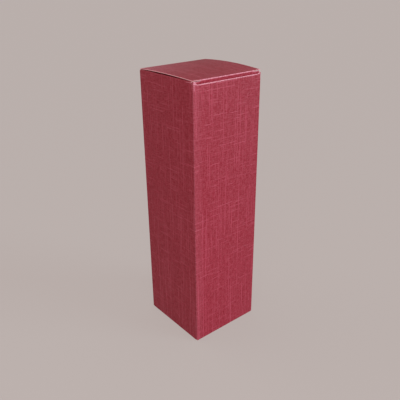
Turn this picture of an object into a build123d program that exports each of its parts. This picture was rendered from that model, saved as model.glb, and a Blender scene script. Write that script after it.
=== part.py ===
from build123d import *
import os
from math import cos, radians, sin, tan

# A tall square gift box for one bottle, die-cut from one sheet of embossed board.
# Four walls meet in upright folds and close at a glued seam in the back right corner.
# The lid hinges on the back wall's top fold, and its tuck flap slides in behind the front wall.
# Two dust flaps fold in from the side walls under the lid.
# The base is a crash-lock: two locking flaps hook over each other in the middle,
# and each is glued by a diagonally creased tab to a side flap that lies on top of it.
# The origin is on the floor, under the middle of the box. The front faces -Y and up is +Z.

# The sheet and the tube of four walls
width = 100.0  # outside, left to right
depth = 100.0  # outside, front to back
height = 338.0  # from the floor to the top of the lid's fold
board = 0.6  # thickness of the board
corner_radius = 1.2  # outside of the upright folds between walls
crease_radius = 1.0  # outside of the folds that carry a flap
bead_radius = 0.3  # the ridge of loosened board inside each upright fold
glue = 0.1  # thickness of a glue line

# The side seam
seam_setback = 0.4  # the right wall's raw edge stops this far short of the back face
glue_flap_width = 14.0
glue_flap_taper = 8.0  # how far each end of the glue flap slants back
seam_glue_width = 8.0
seam_glue_margin = 6.0  # from the glue flap's slanted ends to the glue line

# The mouth of the box
front_drop = 4.4  # the front wall's raw edge lies this far under the top of the lid's fold
left_shoulder = 6.5  # the raw edge climbs to the corner over this length
right_shoulder = 6.0
shoulder_fillet = 1.0
left_corner_drop = 0.8  # the front corners' raw tops lie this far under the lid's fold
right_corner_drop = 3.2
side_shoulder = 2.2  # the side walls' top edges slope to the front corners over this length
dust_drop = 1.0  # the dust flaps' top face lies this far under the top of the lid's fold

# The lid and its tuck flap
lid_inset = 0.6  # the lid's side edges lie this far inside the side walls' faces
left_crown = 1.2  # how far the lid bulges up in the middle of its left edge
right_crown = 2.2
left_corner_fillet = 2.0  # the lid's front corners, seen from above
right_corner_fillet = 4.5
fold_inset = 2.1  # from the walls' outer faces to the ends of the lid's back fold
tuck_inset = 0.8  # the tuck flap's face starts this far behind the front wall's outer face
slit_length = 10.0  # at each end of the tuck fold the board is slit, not folded
slit_gap = 0.2  # the tuck flap's free ends start this far below the end of its fold
tuck_lean = 10.0  # degrees that the tuck flap leans inwards
tuck_length = 20.0
tuck_side_inset = 1.8  # from the side walls' outer faces to the tuck flap's ends
tuck_side_taper = 1.5
tuck_corner_fillet = 12.0

# The dust flaps
dust_reach = 44.0  # from the side wall's outer face to the flap's tip
dust_front_gap = 3.6  # from the front wall's outer face to the flap's shoulder
dust_back_gap = 1.8  # from the back wall's outer face to the flap's back edge
dust_shoulder = 7.5  # width of the shoulder that fills the mouth's front corner
dust_step = 4.0  # behind the shoulder, the edge is cut back by this much
dust_front_taper = 12.0  # degrees
dust_back_taper = 32.0  # degrees, so that the lid and the flap can rise together
dust_tip_fillet = 5.0

# The crash-lock base
base_clearance = 1.4  # from the walls' outer faces to the locking flaps' side edges
lock_gap = 2.0  # from the middle of the box to the locking flaps' straight edges
tongue_reach = 14.0  # each tongue lies this far past the middle of the box
tongue_gap = 1.0  # from the middle of the box to the tongue's inner side
tongue_fillet = 4.0
hook_width = 3.0  # the notch in the tongue's inner side
hook_depth = 5.0
joggle = 3.0  # the tongue climbs on top of the other flap over this length
lock_taper = 5.0  # how far the locking flap narrows at its free side
lock_chamfer = 8.0
tab_run = 38.0  # length of the diagonal crease, measured along a wall
tab_width = 20.0  # width of the glued tab, measured along a wall
side_flap_depth = 22.0  # reach of the side flaps
side_flap_gap = 1.6  # from the diagonal to the side flap's slanted edge
tongue_side_gap = 2.0  # between a tongue and the side flap beside it
tab_glue_margin = 3.0
flap_fillet = 2.0  # free corners of the base's flaps and of the glue flap
score_depth = 0.2  # depth of the V-shaped groove along each diagonal crease

# What follows from them
half_width = width / 2
half_depth = depth / 2
diagonal = Axis((0, 0, 0), (1, 1, 0))  # the way both diagonal creases of the base run
upper_level = board + glue  # underside of the pieces that lie on the locking flaps
side_wall_bottom = upper_level + crease_radius
mouth_level = height - dust_drop - crease_radius  # top of the side walls and the back corners
left_corner_level = height - left_corner_drop
right_corner_level = height - right_corner_drop
front_wall_top = height - front_drop
seam_face = half_width - board - glue  # outside of the glue flap
seam_centre = seam_face - corner_radius
lid_half_width = half_width - lid_inset
tuck_face = half_depth - tuck_inset
tuck_fold_centre = tuck_face - crease_radius
tuck_fold_half = lid_half_width - slit_length


def finish(piece, name):
    """Labels a finished piece and writes it to its own file."""
    piece.part.label = name
    export_step(piece.part, f"parts/{name}.step")


def across(x, y, z):
    """A plane at x that looks along +X, with its own x along +Y and its own y along +Z."""
    return Plane(origin=(x, y, z), x_dir=(0, 1, 0), z_dir=(1, 0, 0))


def along(x, y, z):
    """A plane at y that looks along -Y, with its own x along +X and its own y along +Z."""
    return Plane(origin=(x, y, z), x_dir=(1, 0, 0), z_dir=(0, -1, 0))


def fold(plane, radius, first_angle, sweep, length, bead=0):
    """Makes a strip of board bent round the plane's origin, with a bead inside if asked."""
    with BuildPart() as strip:
        with BuildSketch(plane):
            with BuildLine():
                outside = CenterArc((0, 0), radius, first_angle, sweep)
                inside = CenterArc((0, 0), radius - board, first_angle, sweep)
                Line(outside @ 0, inside @ 0)
                Line(outside @ 1, inside @ 1)
            make_face()
            if bead:
                with PolarLocations(radius - board, 1, start_angle=first_angle + sweep / 2):
                    Circle(bead)
        extrude(amount=length)
    return strip


def diagonal_crease(piece):
    """Finds the long edge on a base piece's underside that lies on a diagonal crease."""
    slanted = piece.edges().filter_by(diagonal)
    return slanted.group_by(Axis.Z)[0].sort_by(SortBy.LENGTH)[-1]


os.makedirs("parts", exist_ok=True)

# Front wall. Its raw top edge climbs to the folds at both ends.
with BuildPart() as front_wall:
    with BuildSketch(along(0, -half_depth, 0)) as front_outline:
        with BuildLine():
            Polyline(
                (-half_width + corner_radius, crease_radius),
                (half_width - corner_radius, crease_radius),
                (half_width - corner_radius, right_corner_level),
                (half_width - right_shoulder, front_wall_top),
                (-half_width + left_shoulder, front_wall_top),
                (-half_width + corner_radius, left_corner_level),
                close=True,
            )
        make_face()
        shoulder_feet = front_outline.vertices().filter_by_position(
            Axis.Y, front_wall_top - 0.01, front_wall_top + 0.01
        )
        fillet(shoulder_feet, shoulder_fillet)
    extrude(amount=-board)
finish(front_wall, "front_wall")

# Back wall. It ends in the lid's fold at the top and in the seam's fold at its right side.
with BuildPart() as back_wall:
    with BuildSketch(along(0, half_depth, 0)):
        with BuildLine():
            Polyline(
                (-half_width + corner_radius, crease_radius),
                (seam_centre, crease_radius),
                (seam_centre, height - crease_radius),
                (-half_width + corner_radius, height - crease_radius),
                close=True,
            )
        make_face()
    extrude(amount=board)
finish(back_wall, "back_wall")

# Side walls. Their top edges slope to the front corners. The right one has a raw back edge,
# glued over the seam's flap.
side_walls = (
    ("left", -1, half_depth - corner_radius, left_corner_level),
    ("right", 1, half_depth - seam_setback, right_corner_level),
)
for name, side, wall_back, corner_level in side_walls:
    with BuildPart() as side_wall:
        with BuildSketch(across(side * half_width, 0, 0)):
            with BuildLine():
                Polyline(
                    (-half_depth + corner_radius, side_wall_bottom),
                    (wall_back, side_wall_bottom),
                    (wall_back, mouth_level),
                    (-half_depth + corner_radius + side_shoulder, mouth_level),
                    (-half_depth + corner_radius, corner_level),
                    close=True,
                )
            make_face()
        extrude(amount=-side * board)
    finish(side_wall, f"{name}_wall")

# Upright folds, each with the bead that creasing raises on the inside of the board.
left_centre = -half_width + corner_radius
right_centre = half_width - corner_radius
front_centre = -half_depth + corner_radius
back_centre = half_depth - corner_radius
upright_folds = (
    ("front_left_fold", left_centre, front_centre, (-1, 0, 0), left_corner_level),
    ("front_right_fold", right_centre, front_centre, (0, -1, 0), right_corner_level),
    ("back_left_fold", left_centre, back_centre, (0, 1, 0), mouth_level),
    ("seam_fold", seam_centre, back_centre, (1, 0, 0), mouth_level),
)
for name, centre_x, centre_y, first_way, top in upright_folds:
    foot = Plane(
        origin=(centre_x, centre_y, side_wall_bottom), x_dir=first_way, z_dir=(0, 0, 1)
    )
    finish(fold(foot, corner_radius, 0, 90, top - side_wall_bottom, bead_radius), name)

# Glue flap, folded in from the back wall, with slanted ends so that it slips past the closures.
flap_back = half_depth - corner_radius
flap_front = flap_back - glue_flap_width
with BuildPart() as glue_flap:
    with BuildSketch(across(seam_face, 0, 0)) as flap_outline:
        with BuildLine():
            Polyline(
                (flap_back, side_wall_bottom),
                (flap_back, mouth_level),
                (flap_front, mouth_level - glue_flap_taper),
                (flap_front, side_wall_bottom + glue_flap_taper),
                close=True,
            )
        make_face()
        fillet(flap_outline.vertices().group_by(Axis.X)[0], flap_fillet)
    extrude(amount=-board)
finish(glue_flap, "glue_flap")

# Line of glue between the glue flap and the right wall.
seam_glue_bottom = side_wall_bottom + glue_flap_taper + seam_glue_margin
seam_glue_top = mouth_level - glue_flap_taper - seam_glue_margin
with BuildPart() as seam_glue:
    with BuildSketch(
        across(seam_face, flap_back - glue_flap_width / 2, (seam_glue_bottom + seam_glue_top) / 2)
    ):
        SlotOverall(seam_glue_top - seam_glue_bottom, seam_glue_width, rotation=90)
    extrude(amount=glue)
finish(seam_glue, "seam_glue")

# Lid panel. The board bulges between its two folds, more on the right than on the left.
# Its front corners stand proud of the tuck fold, where the slits cut them free.
lid_back_edge = half_depth - crease_radius
lid_middle = (lid_back_edge - tuck_fold_centre) / 2
with BuildPart() as lid_panel:
    for lid_edge, crown in ((-lid_half_width, left_crown), (lid_half_width, right_crown)):
        with BuildSketch(across(lid_edge, 0, height)):
            with BuildLine():
                upper = ThreePointArc(
                    (-tuck_fold_centre, 0), (lid_middle, crown), (lid_back_edge, 0)
                )
                lower = ThreePointArc(
                    (-tuck_fold_centre, -board),
                    (lid_middle, crown - board),
                    (lid_back_edge, -board),
                )
                Polyline(upper @ 0, (-tuck_face, 0), (-tuck_face, -board), lower @ 0)
                Line(upper @ 1, lower @ 1)
            make_face()
    loft(ruled=True)
    with BuildSketch(Plane.XY.offset(height - board)) as lid_outline:
        with BuildLine():
            Polyline(
                (-lid_half_width, lid_back_edge),
                (-lid_half_width, -tuck_face),
                (-tuck_fold_half, -tuck_face),
                (-tuck_fold_half, -tuck_fold_centre),
                (tuck_fold_half, -tuck_fold_centre),
                (tuck_fold_half, -tuck_face),
                (lid_half_width, -tuck_face),
                (lid_half_width, lid_back_edge),
                close=True,
            )
        make_face()
        front_corners = lid_outline.vertices().filter_by_position(
            Axis.Y, -tuck_face - 0.01, -tuck_face + 0.01
        )
        fillet(front_corners.sort_by(Axis.X)[0], left_corner_fillet)
        fillet(front_corners.sort_by(Axis.X)[-1], right_corner_fillet)
    extrude(amount=board + left_crown + right_crown, mode=Mode.INTERSECT)
finish(lid_panel, "lid_panel")

# The lid's own fold, on top of the back wall.
lid_fold_left = -half_width + fold_inset
lid_fold_right = half_width - fold_inset
lid_fold_plane = across(lid_fold_left, half_depth - crease_radius, height - crease_radius)
lid_fold = fold(lid_fold_plane, crease_radius, 0, 90, lid_fold_right - lid_fold_left)
finish(lid_fold, "lid_fold")

# The tuck fold, between the slits.
tuck_fold_plane = across(-tuck_fold_half, -tuck_fold_centre, height - crease_radius)
tuck_fold = fold(tuck_fold_plane, crease_radius, 90, 90 + tuck_lean, 2 * tuck_fold_half)
finish(tuck_fold, "tuck_fold")

# Tuck flap, with slit ends beside its fold and well-rounded corners.
lean = radians(tuck_lean)
tuck_half_width = half_width - tuck_side_inset
tuck_plane = Plane(
    origin=(
        0,
        -tuck_fold_centre - crease_radius * cos(lean),
        height - crease_radius - crease_radius * sin(lean),
    ),
    x_dir=(1, 0, 0),
    z_dir=(0, -cos(lean), -sin(lean)),
)
with BuildPart() as tuck_flap:
    with BuildSketch(tuck_plane):
        with BuildLine():
            Polyline(
                (-tuck_fold_half, 0),
                (tuck_fold_half, 0),
                (tuck_fold_half, -slit_gap),
                (tuck_half_width, -slit_gap),
                (tuck_half_width - tuck_side_taper, -tuck_length),
                (-tuck_half_width + tuck_side_taper, -tuck_length),
                (-tuck_half_width, -slit_gap),
                (-tuck_fold_half, -slit_gap),
                close=True,
            )
        make_face()
    extrude(amount=-board)
    rounded_corners = (
        tuck_flap.edges().filter_by(lambda e: abs(e.tangent_at(0).dot(tuck_plane.z_dir)) > 0.99)
    ).group_by(Axis.Z)[0]
    fillet(rounded_corners, tuck_corner_fillet)
finish(tuck_flap, "tuck_flap")

# Dust flaps and their folds. Each has a shoulder in the mouth's front corner, then a step and a
# taper that leave the tuck flap room, and a slanted back edge that keeps clear of the rising lid.
dust_root = half_width - crease_radius
dust_tip = half_width - dust_reach
dust_front = -half_depth + dust_front_gap
dust_back = half_depth - dust_back_gap
shoulder_end = half_width - dust_shoulder
front_slant = tan(radians(dust_front_taper)) * (shoulder_end - dust_tip)
back_slant = tan(radians(dust_back_taper)) * (dust_root - dust_tip)
for name, side in (("left", -1), ("right", 1)):
    with BuildPart() as dust_flap:
        with BuildSketch(Plane.XY.offset(height - dust_drop)):
            with BuildLine():
                Polyline(
                    (side * dust_root, dust_front),
                    (side * shoulder_end, dust_front),
                    (side * shoulder_end, dust_front + dust_step),
                    (side * dust_tip, dust_front + dust_step + front_slant),
                    (side * dust_tip, dust_back - back_slant),
                    (side * dust_root, dust_back),
                    close=True,
                )
            make_face()
        extrude(amount=-board)
        tip_corners = dust_flap.edges().filter_by(Axis.Z).sort_by(Axis.X)
        fillet(tip_corners[-2:] if side < 0 else tip_corners[:2], dust_tip_fillet)
    finish(dust_flap, f"{name}_dust_flap")

    dust_fold_plane = along(side * dust_root, dust_back, mouth_level)
    start_angle = 0 if side > 0 else 90
    dust_fold = fold(dust_fold_plane, crease_radius, start_angle, 90, dust_back - dust_front)
    finish(dust_fold, f"{name}_dust_fold")

# Locking flaps of the base, the same piece turned half round, and the tabs on their diagonals.
# Beside the middle each has a tongue that climbs on top of the other flap, with a hook notch.
tongue_side = half_width - side_flap_depth - tongue_side_gap
for name, turn in (("front", 1), ("back", -1)):
    with BuildPart() as locking_flap:
        with BuildSketch() as flap_outline:
            with BuildLine():
                outline = [
                    (-half_width + crease_radius, -half_depth + crease_radius),
                    (half_width - base_clearance, -half_depth + crease_radius),
                    (half_width - lock_taper, -lock_gap - lock_chamfer),
                    (half_width - lock_taper - lock_chamfer, -lock_gap),
                    (-half_width + tab_run, -lock_gap),
                    (-half_width + tab_run, -half_depth + tab_run),
                ]
                Polyline([(turn * x, turn * y) for x, y in outline], close=True)
            make_face()
            free_corner = (turn * (half_width - lock_taper - lock_chamfer), -turn * lock_gap, 0)
            fillet(flap_outline.vertices().sort_by_distance(free_corner)[0], flap_fillet)
        extrude(amount=board)
        tongue_plane = Plane(
            origin=(turn * tongue_gap, 0, 0), x_dir=(0, turn, 0), z_dir=(turn, 0, 0)
        )
        with BuildSketch(tongue_plane):
            with BuildLine():
                Polyline(
                    (-lock_gap - board, 0),
                    (-joggle / 2, 0),
                    (joggle / 2, upper_level),
                    (tongue_reach, upper_level),
                    (tongue_reach, upper_level + board),
                    (joggle / 2, upper_level + board),
                    (-joggle / 2, board),
                    (-lock_gap - board, board),
                    close=True,
                )
            make_face()
        extrude(amount=tongue_side - tongue_gap)
        tip_corners = locking_flap.edges().filter_by(Axis.Z).sort_by(Axis.Y)
        fillet(tip_corners[-2:] if turn > 0 else tip_corners[:2], tongue_fillet)
        with BuildSketch():
            with Locations((turn * (tongue_gap + hook_width / 2), turn * hook_depth / 2)):
                SlotCenterToCenter(hook_depth - hook_width, hook_width, rotation=90)
                Rectangle(hook_width, hook_depth - hook_width)
        extrude(amount=upper_level + board, mode=Mode.SUBTRACT)
        chamfer(diagonal_crease(locking_flap), score_depth)
    finish(locking_flap, f"base_{name}_flap")

    with BuildPart() as glue_tab:
        with BuildSketch():
            with BuildLine():
                outline = [
                    (-half_width + base_clearance, -half_depth + base_clearance),
                    (-half_width + base_clearance, -half_depth + base_clearance + tab_width),
                    (-half_width + tab_run - tab_width, -half_depth + tab_run),
                    (-half_width + tab_run, -half_depth + tab_run),
                ]
                Polyline([(turn * x, turn * y) for x, y in outline], close=True)
            make_face()
        extrude(amount=board)
        chamfer(diagonal_crease(glue_tab), score_depth)
    finish(glue_tab, f"base_{name}_glue_tab")

    with BuildPart() as tab_glue:
        with BuildSketch(Plane.XY.offset(board)):
            with BuildLine():
                start = base_clearance + tab_glue_margin
                end = side_flap_depth - tab_glue_margin
                low = side_flap_gap + tab_glue_margin
                high = tab_width - tab_glue_margin
                outline = [
                    (-half_width + start, -half_depth + start + low),
                    (-half_width + end, -half_depth + end + low),
                    (-half_width + end, -half_depth + end + high),
                    (-half_width + start, -half_depth + start + high),
                ]
                Polyline([(turn * x, turn * y) for x, y in outline], close=True)
            make_face()
        extrude(amount=glue)
    finish(tab_glue, f"base_{name}_tab_glue")

    fold_y = turn * (crease_radius - half_depth)
    fold_plane = across(-half_width + base_clearance, fold_y, crease_radius)
    start_angle = 180 if turn > 0 else 270
    base_fold = fold(fold_plane, crease_radius, start_angle, 90, width - 2 * base_clearance)
    finish(base_fold, f"base_{name}_fold")

# Side flaps of the base, which lie on the locking flaps and are cut off at 45 degrees.
side_flap_root = half_width - crease_radius
side_flap_tip = half_width - side_flap_depth
for name, side in (("left", -1), ("right", 1)):
    root_half = half_depth - crease_radius - side_flap_gap
    tip_half = half_depth - side_flap_depth - side_flap_gap
    with BuildPart() as side_flap:
        with BuildSketch(Plane.XY.offset(upper_level)) as flap_outline:
            with BuildLine():
                Polyline(
                    (side * side_flap_root, -root_half),
                    (side * side_flap_tip, -tip_half),
                    (side * side_flap_tip, tip_half),
                    (side * side_flap_root, root_half),
                    close=True,
                )
            make_face()
            fillet(flap_outline.vertices().group_by(Axis.Y)[1:3], flap_fillet)
        extrude(amount=board)
    finish(side_flap, f"base_{name}_flap")

    fold_plane = along(side * side_flap_root, root_half, side_wall_bottom)
    start_angle = 180 if side < 0 else 270
    base_fold = fold(fold_plane, crease_radius, start_angle, 90, 2 * root_half)
    finish(base_fold, f"base_{name}_fold")
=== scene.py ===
from math import atan2, cos, pi, radians, sin, sqrt

import bmesh
import bpy
import numpy as np
from mathutils import Matrix, Vector
from mathutils.bvhtree import BVHTree


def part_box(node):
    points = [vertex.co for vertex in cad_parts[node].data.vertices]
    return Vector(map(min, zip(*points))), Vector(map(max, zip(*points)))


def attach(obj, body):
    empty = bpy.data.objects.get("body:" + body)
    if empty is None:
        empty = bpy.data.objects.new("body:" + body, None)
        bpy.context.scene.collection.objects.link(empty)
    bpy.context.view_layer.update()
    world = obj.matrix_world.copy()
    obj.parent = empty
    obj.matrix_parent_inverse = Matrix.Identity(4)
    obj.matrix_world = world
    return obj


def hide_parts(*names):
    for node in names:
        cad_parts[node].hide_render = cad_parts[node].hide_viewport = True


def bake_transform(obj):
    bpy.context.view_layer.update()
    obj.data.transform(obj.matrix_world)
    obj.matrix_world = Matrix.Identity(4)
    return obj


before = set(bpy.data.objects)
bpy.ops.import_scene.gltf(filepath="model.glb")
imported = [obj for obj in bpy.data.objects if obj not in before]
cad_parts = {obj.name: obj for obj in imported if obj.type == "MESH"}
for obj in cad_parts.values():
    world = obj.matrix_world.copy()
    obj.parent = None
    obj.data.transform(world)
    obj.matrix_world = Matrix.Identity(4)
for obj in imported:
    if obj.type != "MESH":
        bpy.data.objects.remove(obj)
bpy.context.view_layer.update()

# The view of the photograph, found from the box's own corners. The camera stands 39 degrees to
# the left of the front, 0.65 m from the middle of the box, and looks down by 25 degrees.
box_height = 0.338
azimuth, elevation, roll = radians(-39.08), radians(24.83), radians(-0.65)
distance, shift_right, shift_up = 0.6507, -0.0012, 0.0019
back = Vector((
    sin(azimuth) * cos(elevation),
    -cos(azimuth) * cos(elevation),
    sin(elevation),
))
level = (-back).cross(Vector((0, 0, 1))).normalized()
upright = level.cross(-back)
right = level * cos(roll) + upright * sin(roll)
up = upright * cos(roll) - level * sin(roll)
eye = Vector((0, 0, box_height / 2)) + back * distance + right * shift_right + up * shift_up
camera_data = bpy.data.cameras.new("camera")
camera_data.lens = 45.2
camera_data.sensor_width = 36
camera_data.clip_start = 0.02
camera_data.clip_end = 100
camera = bpy.data.objects.new("camera", camera_data)
camera.matrix_world = Matrix.Translation(eye) @ Matrix((right, up, back)).transposed().to_4x4()
bpy.context.scene.collection.objects.link(camera)
bpy.context.scene.camera = camera

# Front wall. Solid bleached board of about 400 g a square metre, printed burgundy on one side and
# then embossed like raw linen, with long slubs in the warp and shorter ones in the weft. Die-cut
# from the printed side, which rounds the rim of each raw edge and lets the pale core show.


def material_of(name):
    """A new material with its nodes, its links and its shader."""
    material = bpy.data.materials.new(name)
    material.use_nodes = True
    tree = material.node_tree
    return material, tree.nodes, tree.links, tree.nodes["Principled BSDF"]


def threads(nodes, links, place, across, along, offset, low, high):
    """Noise drawn out into threads on the sheet, from 0 to 1 between two levels of the noise."""
    stretch = nodes.new("ShaderNodeMapping")
    stretch.inputs["Location"].default_value = (offset, offset, 0)
    stretch.inputs["Scale"].default_value = (across, along, 1)
    links.new(place, stretch.inputs["Vector"])
    noise = nodes.new("ShaderNodeTexNoise")
    noise.noise_dimensions = "2D"
    noise.inputs["Scale"].default_value = 1
    noise.inputs["Detail"].default_value = 1.5
    noise.inputs["Roughness"].default_value = 0.5
    links.new(stretch.outputs["Vector"], noise.inputs["Vector"])
    return ramp(nodes, links, noise.outputs["Fac"], low, high)


def ramp(nodes, links, value, start, end, low=0.0, high=1.0):
    """A smooth step from one level to another, between two values."""
    step = nodes.new("ShaderNodeMapRange")
    step.interpolation_type = "SMOOTHSTEP"
    for name, level in (
        ("From Min", start), ("From Max", end), ("To Min", low), ("To Max", high)
    ):
        step.inputs[name].default_value = level
    links.new(value, step.inputs["Value"])
    return step.outputs["Result"]


def between(nodes, links, share, low, high):
    """The level at a share, from 0 to 1, of the way between two levels."""
    step = nodes.new("ShaderNodeMapRange")
    step.inputs["To Min"].default_value = low
    step.inputs["To Max"].default_value = high
    links.new(share, step.inputs["Value"])
    return step.outputs["Result"]


def blend_of(nodes, links, factor, first, second):
    """A mix of two colours, each a colour or a socket."""
    mix = nodes.new("ShaderNodeMix")
    mix.data_type = "RGBA"
    links.new(factor, mix.inputs[0])
    for socket, colour in ((mix.inputs[6], first), (mix.inputs[7], second)):
        if isinstance(colour, tuple):
            socket.default_value = (*colour, 1)
        else:
            links.new(colour, socket)
    return mix.outputs[2]


def reckon(nodes, links, operation, *values):
    """One sum on up to three values, each a number or a socket."""
    step = nodes.new("ShaderNodeMath")
    step.operation = operation
    for socket, value in zip(step.inputs, values):
        if isinstance(value, bpy.types.NodeSocket):
            links.new(value, socket)
        else:
            socket.default_value = value
    return step.outputs["Value"]


def raise_relief(nodes, links, shader, height, strength, depth):
    """Gives a finish its relief, from a height that runs from 0 upwards."""
    bump = nodes.new("ShaderNodeBump")
    bump.inputs["Strength"].default_value = strength
    bump.inputs["Distance"].default_value = depth
    links.new(height, bump.inputs["Height"])
    links.new(bump.outputs["Normal"], shader.inputs["Normal"])


def slubs_in_lanes(nodes, links, side_place, long_place, lanes, breaks, seed, low, high):
    """Thin slubs, each in its own lane of the sheet, that come and go along the lane."""
    lane_place = reckon(nodes, links, "MULTIPLY", side_place, lanes)
    lane = reckon(nodes, links, "FLOOR", lane_place)
    within = reckon(nodes, links, "FRACT", lane_place)
    chance = nodes.new("ShaderNodeTexWhiteNoise")
    chance.noise_dimensions = "1D"
    links.new(reckon(nodes, links, "ADD", lane, seed), chance.inputs["W"])
    chances = nodes.new("ShaderNodeSeparateColor")
    links.new(chance.outputs["Color"], chances.inputs["Color"])
    centre = ramp(nodes, links, chances.outputs["Red"], 0, 1, low=0.28, high=0.72)
    off = reckon(nodes, links, "ABSOLUTE", reckon(nodes, links, "SUBTRACT", within, centre))
    width = ramp(nodes, links, off, start=0.10, end=0.30, low=1, high=0)
    lane_stride = 3.7
    spot = nodes.new("ShaderNodeCombineXYZ")
    links.new(reckon(nodes, links, "MULTIPLY", lane, lane_stride), spot.inputs["X"])
    links.new(reckon(nodes, links, "MULTIPLY", long_place, breaks), spot.inputs["Y"])
    noise = nodes.new("ShaderNodeTexNoise")
    noise.noise_dimensions = "2D"
    noise.inputs["Scale"].default_value = 1
    noise.inputs["Detail"].default_value = 1
    links.new(spot.outputs["Vector"], noise.inputs["Vector"])
    run = ramp(nodes, links, noise.outputs["Fac"], low, high)
    strength = ramp(nodes, links, chances.outputs["Green"], 0, 1, low=0.35, high=1)
    slub = reckon(nodes, links, "MULTIPLY", width, run)
    return reckon(nodes, links, "MULTIPLY", slub, strength)


embossed, nodes, links, shader = material_of("embossed_burgundy")
sheet_place = nodes.new("ShaderNodeUVMap")
sheet_place.uv_map = "sheet"
place = sheet_place.outputs["UV"]
sheet_sides = nodes.new("ShaderNodeSeparateXYZ")
links.new(place, sheet_sides.inputs["Vector"])
sheet_x, sheet_y = sheet_sides.outputs["X"], sheet_sides.outputs["Y"]

# The weave: a fine grain, threads and slubs, each in warp and weft.
fine_warp = threads(nodes, links, place, across=1500, along=90, offset=3.1, low=0.30, high=0.70)
fine_weft = threads(nodes, links, place, across=90, along=1500, offset=7.7, low=0.30, high=0.70)
fine = reckon(nodes, links, "MAXIMUM", fine_warp, fine_weft)
warp_threads = threads(
    nodes, links, place, across=950, along=150, offset=4.9, low=0.32, high=0.68
)
weft_threads = threads(
    nodes, links, place, across=190, along=1050, offset=8.3, low=0.32, high=0.68
)
weave = reckon(nodes, links, "ADD", warp_threads, weft_threads)
weave = reckon(nodes, links, "MULTIPLY", weave, 0.5)
warp_slubs = slubs_in_lanes(
    nodes, links, sheet_x, sheet_y, lanes=600, breaks=10, seed=11, low=0.53, high=0.66
)
weft_slubs = slubs_in_lanes(
    nodes, links, sheet_y, sheet_x, lanes=520, breaks=30, seed=47, low=0.56, high=0.70
)
weft_share = 0.75
weft_slubs = reckon(nodes, links, "MULTIPLY", weft_slubs, weft_share)
slubs = reckon(nodes, links, "MAXIMUM", warp_slubs, weft_slubs)
weave_height, slub_height = 1.2, 1.8
height = reckon(nodes, links, "MULTIPLY_ADD", weave, weave_height, fine)
height = reckon(nodes, links, "MULTIPLY_ADD", slubs, slub_height, height)

# The ink, paler in streaks along the warp and on the slubs.
hollow, thread = (0.212, 0.0075, 0.0185), (0.286, 0.0225, 0.0410)
pale_hollow, pale_thread = (0.230, 0.0105, 0.0230), (0.306, 0.0255, 0.0460)
slub_colour, wear_and_highlight_colour = (0.41, 0.054, 0.090), (0.82, 0.36, 0.45)
streaks = threads(nodes, links, place, across=640, along=45, offset=2.6, low=0.30, high=0.70)
colour = blend_of(nodes, links, weave, hollow, thread)
paler = blend_of(nodes, links, weave, pale_hollow, pale_thread)
colour = blend_of(nodes, links, streaks, colour, paler)
colour = blend_of(nodes, links, slubs, colour, slub_colour)

# The wear, from the piece's own attribute, which also carries painted highlights, and a painted
# highlight on the front left corner of the mouth.
# Painted highlight: the corner of the mouth that faces the front lamp is painted paler, standing
# in for light on it.
lit_corner_centre = (-0.0470, -0.0505, 0.3362)
wear_and_painted_light = nodes.new("ShaderNodeAttribute")
wear_and_painted_light.attribute_name = "wear_and_painted_light"
lit_corner_distance = nodes.new("ShaderNodeVectorMath")
lit_corner_distance.operation = "DISTANCE"
links.new(nodes.new("ShaderNodeTexCoord").outputs["Object"], lit_corner_distance.inputs[0])
lit_corner_distance.inputs[1].default_value = lit_corner_centre
lit_corner_highlight = ramp(nodes, links, lit_corner_distance.outputs["Value"], start=0.0014, end=0.0040, low=0.55, high=0)
worn = reckon(nodes, links, "MAXIMUM", wear_and_painted_light.outputs["Fac"], lit_corner_highlight)
# Real wear and painted highlights are mixed in here alike, towards one paler colour.
patches = threads(nodes, links, place, across=700, along=700, offset=4.4, low=0.15, high=0.6)
wear_and_highlight_amount = reckon(nodes, links, "MULTIPLY", worn, patches)
colour = blend_of(nodes, links, wear_and_highlight_amount, colour, wear_and_highlight_colour)
links.new(colour, shader.inputs["Base Color"])

# The sheen: smoother on the slubs, and stronger on the threads than in the hollows.
links.new(between(nodes, links, slubs, 0.52, 0.42), shader.inputs["Roughness"])
sheen = ramp(nodes, links, weave, start=0.2, end=0.8, low=0.17, high=0.29)
links.new(sheen, shader.inputs["Specular IOR Level"])
raise_relief(nodes, links, shader, height, strength=0.6, depth=0.00012)

# The uncoated white inside and the core that shows on the cut edges.
plain, nodes, links, shader = material_of("uncoated_white")
own_place = nodes.new("ShaderNodeTexCoord").outputs["Object"]
fibres = threads(nodes, links, own_place, across=900, along=900, offset=0.7, low=0.2, high=0.8)
clouds = threads(nodes, links, own_place, across=60, along=60, offset=6.1, low=0.3, high=0.7)
colour = blend_of(nodes, links, fibres, (0.70, 0.66, 0.59), (0.80, 0.765, 0.70))
colour = blend_of(nodes, links, clouds, colour, (0.77, 0.73, 0.66))
links.new(colour, shader.inputs["Base Color"])
shader.inputs["Roughness"].default_value = 0.85
shader.inputs["Specular IOR Level"].default_value = 0.2
raise_relief(nodes, links, shader, fibres, strength=0.35, depth=0.00005)

core, nodes, links, shader = material_of("raw_core")
own_place = nodes.new("ShaderNodeTexCoord").outputs["Object"]
plies = threads(nodes, links, own_place, across=2400, along=2400, offset=1.9, low=0.3, high=0.7)
colour = blend_of(nodes, links, plies, (0.76, 0.32, 0.335), (0.86, 0.43, 0.435))
links.new(colour, shader.inputs["Base Color"])
shader.inputs["Roughness"].default_value = 0.9
shader.inputs["Specular IOR Level"].default_value = 0.15

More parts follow.
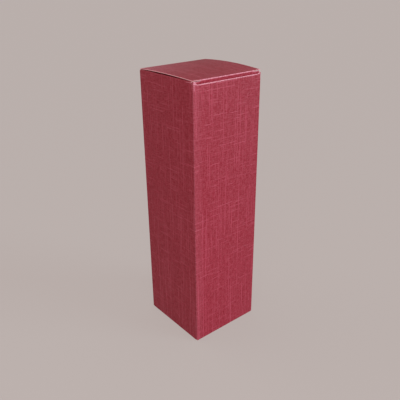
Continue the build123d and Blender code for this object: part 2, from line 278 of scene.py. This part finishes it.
finishes = (embossed, plain, core)
glue_lines = ("seam_glue", "base_front_tab_glue", "base_back_tab_glue")
neighbours = {
    name: BVHTree.FromPolygons(
        [v.co for v in node.data.vertices], [p.vertices for p in node.data.polygons]
    )
    for name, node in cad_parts.items()
    if name not in glue_lines
}
rim = 0.00018  # radius of the rounded rims along raw edges
edge_on = 0.35  # a cut face points less than this along the board's outward direction
touching = 0.00002  # what is closer than this touches
same_place = 1e-6  # corners closer than this are one corner
flat_on = 0.995  # a flat face points more than this along it
least_flat = 0.00002  # a flat face of more square metres than this is worn along its edges
grid_step = 0.012  # the boards are divided this finely, to bow and to bend
crisp = radians(40)  # edges sharper than this don't shade smoothly


def lay_out(mesh, across, along):
    """Gives the mesh its place on the flat sheet, in metres, as its UV map.

    Each of the two places on the sheet is a share of x, y and z, and then millimetres to add.
    """
    places = np.array([v.co for v in mesh.vertices], float)
    sheet = np.column_stack((
        places @ np.array(across[:3], float) + across[3] / 1000,
        places @ np.array(along[:3], float) + along[3] / 1000,
    ))
    layer = mesh.uv_layers.new(name="sheet")
    corners = np.array([loop.vertex_index for loop in mesh.loops])
    layer.data.foreach_set("uv", sheet[corners].astype(np.float32).ravel())


def show(mesh, node, body):
    """Puts a finished piece of board in place of its CAD node, on its body when the body is a
    name.
    """
    piece = bpy.data.objects.new(f"{node}_board", mesh)
    bpy.context.scene.collection.objects.link(piece)
    if isinstance(body, str):
        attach(piece, body)
    else:
        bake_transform(piece)
    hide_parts(node)


def raw_edges_of(solid, node, outward, bulge):
    """The edges round a board's cut faces, where they touch no other piece."""
    raw_faces = set()
    for face in solid.faces:
        if abs(face.normal.dot(outward)) < edge_on:
            middle = face.calc_center_median()
            if bulge:
                middle = middle + Vector((0, 0, bulge(middle)))
            touched = any(
                name != node and tree.find_nearest(middle, touching)[0] is not None
                for name, tree in neighbours.items()
            )
            if not touched:
                raw_faces.add(face)
    return [
        e
        for e in solid.edges
        if len(e.link_faces) == 2
        and (e.link_faces[0] in raw_faces) != (e.link_faces[1] in raw_faces)
        and all(f in raw_faces or abs(f.normal.dot(outward)) > edge_on for f in e.link_faces)
    ]


def round_rims(solid, raw_edges, outward, worn):
    """Rounds the raw edges, and marks off the strip along them that wear reaches."""
    bmesh.ops.bevel(
        solid,
        geom=raw_edges,
        offset=rim,
        offset_type="OFFSET",
        segments=3,
        profile=0.5,
        affect="EDGES",
        clamp_overlap=True,
    )
    flat = [
        f for f in solid.faces if f.normal.dot(outward) > flat_on and f.calc_area() > least_flat
    ]
    if flat:
        bmesh.ops.inset_region(
            solid, faces=flat, thickness=worn - rim, use_even_offset=True, use_boundary=True
        )


def divide(solid, outward, step):
    """Divides a board into a grid of about one step, so that it can bow or bulge."""
    low = Vector([min(v.co[i] for v in solid.verts) for i in range(3)])
    high = Vector([max(v.co[i] for v in solid.verts) for i in range(3)])
    for i in range(3):
        if abs(outward[i]) > 0.5:
            continue
        count = round((high[i] - low[i]) / step)
        normal = Vector([j == i for j in range(3)])
        for k in range(1, count):
            bmesh.ops.bisect_plane(
                solid,
                geom=[*solid.verts, *solid.edges, *solid.faces],
                plane_co=low + normal * (high[i] - low[i]) * k / count,
                plane_no=normal,
                dist=touching,
            )


def away_from(place, ends):
    """How far a place is from the nearest of some straight edges, given by their ends."""
    starts, runs = ends[:, 0], ends[:, 1] - ends[:, 0]
    offset = np.array(place, float) - starts
    part = np.clip((offset * runs).sum(1) / (runs * runs).sum(1), 0, 1)
    return np.linalg.norm(offset - part[:, None] * runs, axis=1).min()


def board(
    node,
    body,
    outward,
    across,
    along,
    bow=None,
    bulge=None,
    step=grid_step,
    worn=0.0009,
    paled=None,
):
    """Makes a panel or flap from its CAD solid: finishes, rounded rims, wear, painted highlights
    and its own shape.
    """
    outward = Vector(outward).normalized()
    solid = bmesh.new()
    solid.from_mesh(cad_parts[node].data)
    bmesh.ops.remove_doubles(solid, verts=solid.verts, dist=same_place)
    if bulge:
        for v in solid.verts:
            v.co.z -= bulge(v.co)
    merged = radians(8 if bulge else 0.5)
    bmesh.ops.dissolve_limit(solid, angle_limit=merged, verts=solid.verts, edges=solid.edges)
    raw_edges = raw_edges_of(solid, node, outward, bulge)
    ends = np.array([[v.co for v in e.verts] for e in raw_edges], float).reshape(-1, 2, 3)
    if raw_edges:
        round_rims(solid, raw_edges, outward, worn)
    divide(solid, outward, step)
    for face in solid.faces:
        facing = face.normal.dot(outward)
        face.material_index = 0 if facing > edge_on else 1 if facing < -edge_on else 2
        face.smooth = True
    wear_layer = solid.verts.layers.float.new("wear_and_painted_light")
    for v in solid.verts:
        v[wear_layer] = 0
        if len(ends):
            v[wear_layer] = max(0.0, 1 - away_from(v.co, ends) / (worn - rim))
        if paled:
            v[wear_layer] = max(v[wear_layer], paled(v.co))
        if bow:
            v.co -= outward * bow(v.co)
        if bulge:
            v.co.z += bulge(v.co)
    mesh = bpy.data.meshes.new(f"{node}_board")
    solid.to_mesh(mesh)
    solid.free()
    mesh.set_sharp_from_angle(angle=crisp)
    for finish in finishes:
        mesh.materials.append(finish)
    lay_out(mesh, across, along)
    show(mesh, node, body)


def bowed(axis, start, end, low, high, amount):
    """How far a wall has sunk in, most in its middle: a function of the place."""
    unevenness = 0.35

    def sink(place):
        s = (place[axis] - start) / (end - start)
        t = (place.z - low) / (high - low)
        if not (0 < s < 1 and 0 < t < 1):
            return 0
        wave = sin(2 * pi * t + 5 * s)
        return amount * sin(pi * s) * sin(pi * t) * (1 + unevenness * wave)

    return sink


def wear_and_highlight_beside_fold(place):
    """Faint wear where the box is picked up, and a painted highlight, paler beside the front
    wall's left fold.
    """
    amount, inner_end, width = 0.045, -0.0366, 0.011
    return amount * max(0.0, min(1.0, (inner_end - place.x) / width))


up_the_wall = (0, 0, 1, 0)
shoulder = 0.006  # the front wall bows only below the shoulders of its raw edge
low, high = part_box("front_wall")
board(
    "front_wall",
    "carton",
    outward=(0, -1, 0),
    across=(1, -1, 0, -50),
    along=up_the_wall,
    bow=bowed(0, low.x, high.x, low.z, high.z - shoulder, amount=0.00035),
    worn=0.0014,
    # Painted highlight together with faint wear: paler beside the left fold.
    paled=wear_and_highlight_beside_fold,
)

# Back wall and the two side walls, cut from the same sheet. The right wall's raw back edge ends
# just short of the corner, where it is glued over the flap that folds in from the back wall.
low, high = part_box("back_wall")
board(
    "back_wall",
    "carton",
    outward=(0, 1, 0),
    across=(-1, -1, 0, -150),
    along=up_the_wall,
    bow=bowed(0, low.x, high.x, low.z, high.z, amount=0.0003),
)
low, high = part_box("left_wall")
board(
    "left_wall",
    "carton",
    outward=(-1, 0, 0),
    across=(1, -1, 0, -50),
    along=up_the_wall,
    bow=bowed(1, low.y, high.y, low.z, high.z, amount=0.0004),
)
low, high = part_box("right_wall")
flap_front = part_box("glue_flap")[0].y
board(
    "right_wall",
    "carton",
    outward=(1, 0, 0),
    across=(1, 1, 0, 50),
    along=up_the_wall,
    bow=bowed(1, low.y, flap_front, low.z, high.z, amount=0.0003),
)

# Upright folds. The sheet is creased from the inside with a steel rule and bent a quarter turn,
# which stretches and lightens the print on the outside and raises a bead on the inside.
crease_tree = bpy.data.node_groups.new("crease", "GeometryNodeTree")
for name, kind in (
    ("Radius", "NodeSocketFloat"),
    ("Board", "NodeSocketFloat"),
    ("First Angle", "NodeSocketFloat"),
    ("Sweep", "NodeSocketFloat"),
    ("Length", "NodeSocketFloat"),
    ("Bead", "NodeSocketFloat"),
    ("Rim", "NodeSocketFloat"),
    ("Steps Round", "NodeSocketInt"),
    ("Steps Along", "NodeSocketInt"),
):
    crease_tree.interface.new_socket(name, in_out="INPUT", socket_type=kind)
crease_tree.interface.new_socket("Geometry", in_out="OUTPUT", socket_type="NodeSocketGeometry")


def step_of(kind, inputs=(), **settings):
    """Adds a node to the crease's tree, with its settings and its inputs by place or name."""
    node = crease_tree.nodes.new(kind)
    for name, value in settings.items():
        setattr(node, name, value)
    for key, value in dict(inputs).items():
        if isinstance(value, bpy.types.NodeSocket):
            crease_tree.links.new(value, node.inputs[key])
        else:
            node.inputs[key].default_value = value
    return node


def maths(operation, *values):
    """Adds one sum to the crease's tree and gives its result."""
    return step_of("ShaderNodeMath", dict(enumerate(values)), operation=operation).outputs[0]


def marked(geometry, name, value, kind, domain):
    """Stores a named attribute on the crease."""
    return step_of(
        "GeometryNodeStoreNamedAttribute",
        {"Geometry": geometry, "Name": name, "Value": value},
        data_type=kind,
        domain=domain,
    ).outputs[0]


def read_back(name, kind="FLOAT"):
    """Reads one of the crease's named attributes."""
    return step_of("GeometryNodeInputNamedAttribute", {"Name": name}, data_type=kind).outputs[0]


# A flat grid of one by one, whose first and last rows are the two rims.
given = step_of("NodeGroupInput").outputs
grid = step_of(
    "GeometryNodeMeshGrid",
    {
        "Size X": 1.0,
        "Size Y": 1.0,
        "Vertices X": maths("ADD", given["Steps Round"], 1),
        "Vertices Y": maths("ADD", given["Steps Along"], 1),
    },
)
grid_place = step_of(
    "ShaderNodeSeparateXYZ", {0: step_of("GeometryNodeInputPosition").outputs[0]}
).outputs
turned = maths("ADD", grid_place["X"], 0.5)
run = maths("ADD", grid_place["Y"], 0.5)
at_end = maths("GREATER_THAN", maths("ABSOLUTE", grid_place["Y"]), 0.4999)

# The grid's rows spread over the crease's length, and its columns bent round the corner.
inner_run = maths(
    "ADD",
    given["Rim"],
    maths(
        "MULTIPLY",
        maths(
            "DIVIDE",
            maths("SUBTRACT", maths("MULTIPLY", run, given["Steps Along"]), 1.0),
            maths("SUBTRACT", given["Steps Along"], 2.0),
        ),
        maths("SUBTRACT", given["Length"], maths("MULTIPLY", given["Rim"], 2.0)),
    ),
)
end_run = maths("MULTIPLY", run, given["Length"])
reach = maths(
    "ADD",
    maths("MULTIPLY", end_run, at_end),
    maths("MULTIPLY", inner_run, maths("SUBTRACT", 1.0, at_end)),
)
angle = maths("ADD", given["First Angle"], maths("MULTIPLY", given["Sweep"], turned))
radius = maths("SUBTRACT", given["Radius"], maths("MULTIPLY", given["Rim"], at_end))
bent = step_of(
    "ShaderNodeCombineXYZ",
    {
        "X": reach,
        "Y": maths("MULTIPLY", radius, maths("COSINE", angle)),
        "Z": maths("MULTIPLY", radius, maths("SINE", angle)),
    },
).outputs[0]
with_turn = marked(grid.outputs["Mesh"], "turned", turned, "FLOAT", "POINT")
with_end = marked(with_turn, "at_end", at_end, "FLOAT", "POINT")
outside = step_of(
    "GeometryNodeSetPosition", {"Geometry": with_end, "Position": bent}
).outputs[0]

# The inner face, one board's thickness further in, with the bead along its middle.
pushed = step_of(
    "GeometryNodeExtrudeMesh",
    {
        "Mesh": outside,
        "Offset Scale": maths("MULTIPLY", given["Board"], -1.0),
        "Individual": False,
    },
    mode="FACES",
)
from_middle = maths(
    "MULTIPLY",
    maths("SUBTRACT", read_back("turned"), 0.5),
    maths("MULTIPLY", given["Sweep"], maths("SUBTRACT", given["Radius"], given["Board"])),
)
bead_height = maths(
    "SQRT",
    maths(
        "MAXIMUM",
        maths(
            "SUBTRACT",
            maths("MULTIPLY", given["Bead"], given["Bead"]),
            maths("MULTIPLY", from_middle, from_middle),
        ),
        0.0,
    ),
)
rim_drop = maths("MULTIPLY", read_back("at_end"), maths("MULTIPLY", given["Rim"], 2.0))
inward = maths("SUBTRACT", rim_drop, bead_height)
now_at = step_of("GeometryNodeInputPosition").outputs[0]
radial = step_of("ShaderNodeVectorMath", {0: now_at, 1: (0.0, 1.0, 1.0)}, operation="MULTIPLY")
radial = step_of("ShaderNodeVectorMath", {0: radial.outputs[0]}, operation="NORMALIZE")
shift = step_of(
    "ShaderNodeVectorMath", {0: radial.outputs[0], "Scale": inward}, operation="SCALE"
).outputs[0]
beaded = step_of(
    "GeometryNodeSetPosition",
    {"Geometry": pushed.outputs["Mesh"], "Selection": pushed.outputs["Top"], "Offset": shift},
).outputs[0]
inner_marked = marked(beaded, "plain_side", pushed.outputs["Top"], "BOOLEAN", "FACE")
sides_marked = marked(inner_marked, "cut_side", pushed.outputs["Side"], "BOOLEAN", "FACE")

# Both faces joined into a closed strip, and each side given its finish.
turned_over = step_of("GeometryNodeFlipFaces", {"Mesh": sides_marked}).outputs[0]
joined = step_of("GeometryNodeJoinGeometry")
crease_tree.links.new(outside, joined.inputs[0])
crease_tree.links.new(turned_over, joined.inputs[0])
closed = step_of(
    "GeometryNodeMergeByDistance", {"Geometry": joined.outputs[0], "Distance": same_place}
).outputs[0]
shape = step_of("GeometryNodeRealizeInstances", {"Geometry": closed}).outputs[0]
for finish, chosen in ((embossed, None), (plain, "plain_side"), (core, "cut_side")):
    painted = step_of("GeometryNodeSetMaterial", {"Geometry": shape, "Material": finish})
    if chosen:
        crease_tree.links.new(read_back(chosen, "BOOLEAN"), painted.inputs["Selection"])
    shape = painted.outputs[0]
result = step_of("NodeGroupOutput")
crease_tree.links.new(shape, result.inputs["Geometry"])
board_thickness = 0.0006
end_wear = 0.7  # on the rims at both ends of a crease


def bent_strip(sizes):
    """One bent strip of board as the crease's tree makes it, along x and round the origin."""
    holder = bpy.data.objects.new("holder", bpy.data.meshes.new("holder"))
    bpy.context.scene.collection.objects.link(holder)
    bend = holder.modifiers.new("crease", "NODES")
    bend.node_group = crease_tree
    for socket in crease_tree.interface.items_tree:
        if socket.in_out == "INPUT":
            bend[socket.identifier] = sizes[socket.name]
    holder.update_tag()
    evaluated = holder.evaluated_get(bpy.context.evaluated_depsgraph_get())
    mesh = bpy.data.meshes.new_from_object(evaluated)
    bpy.data.objects.remove(holder)
    return mesh


def crease(
    node, body, outward, across, along, lean=0, bead=0.0, apex_wear=0.12, extra_wear_and_highlight=None
):
    """Makes the bent strip of board that stands for a fold's CAD node."""
    lowest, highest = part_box(node)
    k = outward.index(0)
    i, j = (k + 1) % 3, (k + 2) % 3
    length, fold_radius = (highest - lowest)[k], (highest - lowest)[i]
    centre = Vector((0, 0, 0))
    centre[k] = lowest[k]
    for a in (i, j):
        centre[a] = highest[a] - fold_radius if outward[a] > 0 else lowest[a] + fold_radius
    mesh = bent_strip({
        "Radius": fold_radius,
        "Board": board_thickness,
        "First Angle": atan2(outward[j], outward[i]) - pi / 4,
        "Sweep": pi / 2 + radians(lean),
        "Length": length,
        "Bead": bead,
        "Rim": rim,
        "Steps Round": 20,
        "Steps Along": 4 + round(length / grid_step),
    })
    mesh.name = f"{node}_board"
    way = Matrix([[float(r == c) for c in (k, i, j)] for r in range(3)])
    mesh.transform(Matrix.Translation(centre) @ way.to_4x4())
    solid = bmesh.new()
    solid.from_mesh(mesh)
    if solid.calc_volume(signed=True) < 0:
        bmesh.ops.reverse_faces(solid, faces=solid.faces)
    wear_layer = solid.verts.layers.float.new("wear_and_painted_light")
    turn_layer = solid.verts.layers.float.get("turned")
    end_layer = solid.verts.layers.float.get("at_end")
    for v in solid.verts:
        off_middle = abs(2 * v[turn_layer] - 1)
        v[wear_layer] = max(apex_wear * (1 - off_middle**2), end_wear * v[end_layer])
        if extra_wear_and_highlight:
            v[wear_layer] = max(v[wear_layer], extra_wear_and_highlight(v.co))
    for face in solid.faces:
        face.smooth = True
    solid.to_mesh(mesh)
    solid.free()
    mesh.set_sharp_from_angle(angle=crisp)
    lay_out(mesh, across, along)
    show(mesh, node, body)


def wear_and_highlight_front_edge(place):
    """Faint wear and a painted highlight on the front wall's left side, where it runs on into the
    fold.
    """
    amount, front = 0.055, -0.0495
    return amount if place.y < front else 0


bead_radius = 0.0003
crease(
    "front_left_fold",
    "carton",
    outward=(-1, -1, 0),
    across=(1, -1, 0, -50),
    along=up_the_wall,
    bead=bead_radius,
    apex_wear=0.13,
    # Painted highlight with faint wear along the fold's front side.
    extra_wear_and_highlight=wear_and_highlight_front_edge,
)
for name, outward, across in (
    ("front_right_fold", (1, -1, 0), (1, 1, 0, 50)),
    ("back_left_fold", (-1, 1, 0), (-1, -1, 0, -150)),
):
    crease(name, "carton", outward, across, up_the_wall, bead=bead_radius)

# Seam. The last upright fold carries the glue flap, which lies inside the right wall and is
# stuck to it along a line of clear-drying white glue.
past_the_seam = (-1, 1, 0, -250)
crease("seam_fold", "carton", (1, 1, 0), past_the_seam, up_the_wall, bead=bead_radius)
board("glue_flap", "carton", (1, 0, 0), past_the_seam, up_the_wall)
glue_finish, nodes, links, shader = material_of("dried_glue")
own_place = nodes.new("ShaderNodeTexCoord").outputs["Object"]
beads = threads(nodes, links, own_place, across=400, along=400, offset=2.2, low=0.2, high=0.8)
colour = blend_of(nodes, links, beads, (0.62, 0.54, 0.40), (0.76, 0.70, 0.56))
links.new(colour, shader.inputs["Base Color"])
links.new(between(nodes, links, beads, 0.28, 0.5), shader.inputs["Roughness"])
for name in glue_lines:
    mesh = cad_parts[name].data
    mesh.materials.clear()
    mesh.materials.append(glue_finish)

# Lid panel, folded over from the back wall. The board springs up between its two folds, more on
# the right than on the left, so the pale raw edge at its left stands clear of the side wall.
lid_back, lid_front = 0.049, -0.0482
lid_edge = 0.0494
left_crown, right_crown = 0.0012, 0.0022
across_the_lid, along_the_lid = (-1, 0, 0, -200), (0, -1, 1, 50)


def lid_bulge(place):
    """How far the lid stands above its folds at a place."""
    half = (lid_back - lid_front) / 2
    off = place.y - (lid_back + lid_front) / 2
    if abs(off) >= half:
        return 0
    share = (place.x + lid_edge) / (2 * lid_edge)
    rise = 0
    for crown, part in ((left_crown, 1 - share), (right_crown, share)):
        arc_radius = (half * half + crown * crown) / (2 * crown)
        rise += part * (sqrt(arc_radius * arc_radius - off * off) - arc_radius + crown)
    return rise


def painted_sheen_lid_corner(place):
    """A painted reflection on the lid, paler towards its back left corner."""
    amount, reach, corner_x, corner_y = 0.17, 0.07, -0.05, 0.05
    away = Vector((place.x - corner_x, place.y - corner_y)).length
    return amount * max(0.0, 1 - away / reach)


board(
    "lid_panel",
    "lid",
    outward=(0, 0, 1),
    across=across_the_lid,
    along=along_the_lid,
    bulge=lid_bulge,
    step=0.008,
    # Painted reflection: the lid's back left corner is painted paler.
    paled=painted_sheen_lid_corner,
)

# Lid fold and tuck fold. The printed side is on the outside of both bends and cracks a little
# there.
lid_fold_start, lid_fold_end = (0, 0.05, 0.337), (0, 0.049, 0.338)
tuck_fold_start, tuck_fold_end = (0, -0.0482, 0.338), (0, -0.0492, 0.337)
tuck_lean = 10
along_the_tuck = (0, -1, -1, 726)


def cracked_end(place):
    """The deeper cracks on top of the lid's fold, towards its left end."""
    most, inner_end, width, top = 0.8, -0.022, 0.02, 0.3377
    return max(0.0, min(most, (inner_end - place.x) / width)) if place.z > top else 0


crease(
    "lid_fold",
    ("carton", "lid", lid_fold_start, lid_fold_end),
    outward=(0, 1, 1),
    across=across_the_lid,
    along=along_the_lid,
    apex_wear=0.3,
    extra_wear_and_highlight=cracked_end,
)
crease(
    "tuck_fold",
    ("lid", "tuck", tuck_fold_start, tuck_fold_end),
    outward=(0, -1, 1),
    across=across_the_lid,
    along=along_the_tuck,
    lean=tuck_lean,
    apex_wear=0.75,
)

# Tuck flap, in one with the lid beyond its fold. It leans in and slides down behind the front
# wall, with well-rounded corners to find its way.
board(
    "tuck_flap",
    "tuck",
    outward=(0, -cos(radians(tuck_lean)), -sin(radians(tuck_lean))),
    across=across_the_lid,
    along=along_the_tuck,
)

# Dust flaps and their folds. They fold in from the side walls before the lid closes, so they
# show their printed side upwards too.
wall_face, flap_start = 0.05, 0.049
wall_top, dust_level = 0.336, 0.337
for name, side in (("left", -1), ("right", 1)):
    across = (0, side, 0, side * 100)
    along = (-side, 0, 1, 50)
    fold_start, fold_end = (side * wall_face, 0, wall_top), (side * flap_start, 0, dust_level)
    board(f"{name}_dust_flap", f"{name}_dust", (0, 0, 1), across, along)
    crease(
        f"{name}_dust_fold",
        ("carton", f"{name}_dust", fold_start, fold_end),
        outward=(side, 0, 1),
        across=across,
        along=along,
        apex_wear=0,
    )

# Base. Two locking flaps hook over each other in the middle. Each is stuck by a tab, beyond a
# diagonal crease, to the side flap above it, so the base snaps shut as the flat box is squared up.
down, base_step = (0, 0, -1), 0.003
for name, side in (("front", -1), ("back", 1)):
    across = (-side, 0, 0, -100 * (side + 1))
    along = (0, side, 1, -50)
    board(f"base_{name}_flap", "carton", down, across, along, step=base_step)
    board(f"base_{name}_glue_tab", "carton", down, (0, -side, 0, 0), (side, 0, 1, -50))
    crease(f"base_{name}_fold", "carton", (0, side, -1), across, along)
for name, side in (("left", -1), ("right", 1)):
    across = (0, side, 0, side * 100)
    along = (side, 0, 1, -50)
    board(f"base_{name}_flap", "carton", down, across, along, step=base_step)
    crease(f"base_{name}_fold", "carton", (side, 0, -1), across, along)

# Floor: a wide sheet of greige paper, a hair below the box. It runs on so far back that it fills
# the picture up to its top edge, and it shows mostly its own even colour and a little shadow.
floor_half, floor_level = 30.0, -0.0001
floor_colour, floor_glow, glow_share = (0.50, 0.470, 0.450, 1), (0.508, 0.441, 0.420, 1), 0.8
floor_mesh = bpy.data.meshes.new("floor")
floor_mesh.from_pydata(
    [
        (-floor_half, -floor_half, floor_level),
        (floor_half, -floor_half, floor_level),
        (floor_half, floor_half, floor_level),
        (-floor_half, floor_half, floor_level),
    ],
    [],
    [(0, 1, 2, 3)],
)
floor = bpy.data.objects.new("floor", floor_mesh)
bpy.context.scene.collection.objects.link(floor)
paper, nodes, links, shader = material_of("greige_paper")
shader.inputs["Base Color"].default_value = floor_colour
shader.inputs["Roughness"].default_value = 1
shader.inputs["Specular IOR Level"].default_value = 0


def seen_share(nodes, links, share):
    """The share for rays that show the backdrop: from the camera, in gloss and through glass."""
    ray = nodes.new("ShaderNodeLightPath")
    total = ray.outputs["Is Camera Ray"]
    for kind in ("Is Glossy Ray", "Is Transmission Ray"):
        total = reckon(nodes, links, "MAXIMUM", total, ray.outputs[kind])
    return reckon(nodes, links, "MULTIPLY", total, share)


glow = nodes.new("ShaderNodeEmission")
glow.inputs["Color"].default_value = floor_glow
mix = nodes.new("ShaderNodeMixShader")
links.new(seen_share(nodes, links, glow_share), mix.inputs[0])
links.new(shader.outputs[0], mix.inputs[1])
links.new(glow.outputs[0], mix.inputs[2])
links.new(mix.outputs[0], nodes["Material Output"].inputs["Surface"])
floor_mesh.materials.append(paper)

# Light: a pale room all round, a wide soft lamp before the front wall and weaker ones beside
# and behind, so that the front wall is the brightest and the left wall the darkest.
for name, towards, strength, colour, spread in (
    ("front_lamp", (0.56, -0.80, 0.21), 2.9, (0.78, 0.94, 1.0), 30),
    ("back_lamp", (-0.40, 0.76, 0.52), 0.65, (1.0, 0.90, 0.88), 60),
):
    lamp_data = bpy.data.lights.new(name, "SUN")
    lamp_data.energy = strength
    lamp_data.color = colour
    lamp_data.angle = radians(spread)
    lamp = bpy.data.objects.new(name, lamp_data)
    lamp.rotation_euler = Vector(towards).to_track_quat("Z", "Y").to_euler()
    bpy.context.scene.collection.objects.link(lamp)
lamp_data = bpy.data.lights.new("near_lamp", "AREA")
lamp_data.shape = "DISK"
lamp_data.size = 0.5
lamp_data.energy = 2.9
lamp_data.color = (1.0, 0.84, 0.82)
lamp = bpy.data.objects.new("near_lamp", lamp_data)
lamp.location = (-0.60, -0.64, 0.68)
lamp.rotation_euler = lamp.location.to_track_quat("Z", "Y").to_euler()
bpy.context.scene.collection.objects.link(lamp)
room = bpy.data.worlds.new("room")
room.use_nodes = True
nodes, links = room.node_tree.nodes, room.node_tree.links
light = nodes["Background"]
light.inputs["Color"].default_value = (1, 0.94, 0.93, 1)
light.inputs["Strength"].default_value = 0.56
seen = nodes.new("ShaderNodeBackground")
seen.inputs["Color"].default_value = (0.497, 0.434, 0.413, 1)
choice = nodes.new("ShaderNodeMixShader")
links.new(seen_share(nodes, links, 1.0), choice.inputs[0])
links.new(light.outputs[0], choice.inputs[1])
links.new(seen.outputs[0], choice.inputs[2])
links.new(choice.outputs[0], nodes["World Output"].inputs["Surface"])
bpy.context.scene.world = room
bpy.context.scene.view_settings.view_transform = "Standard"
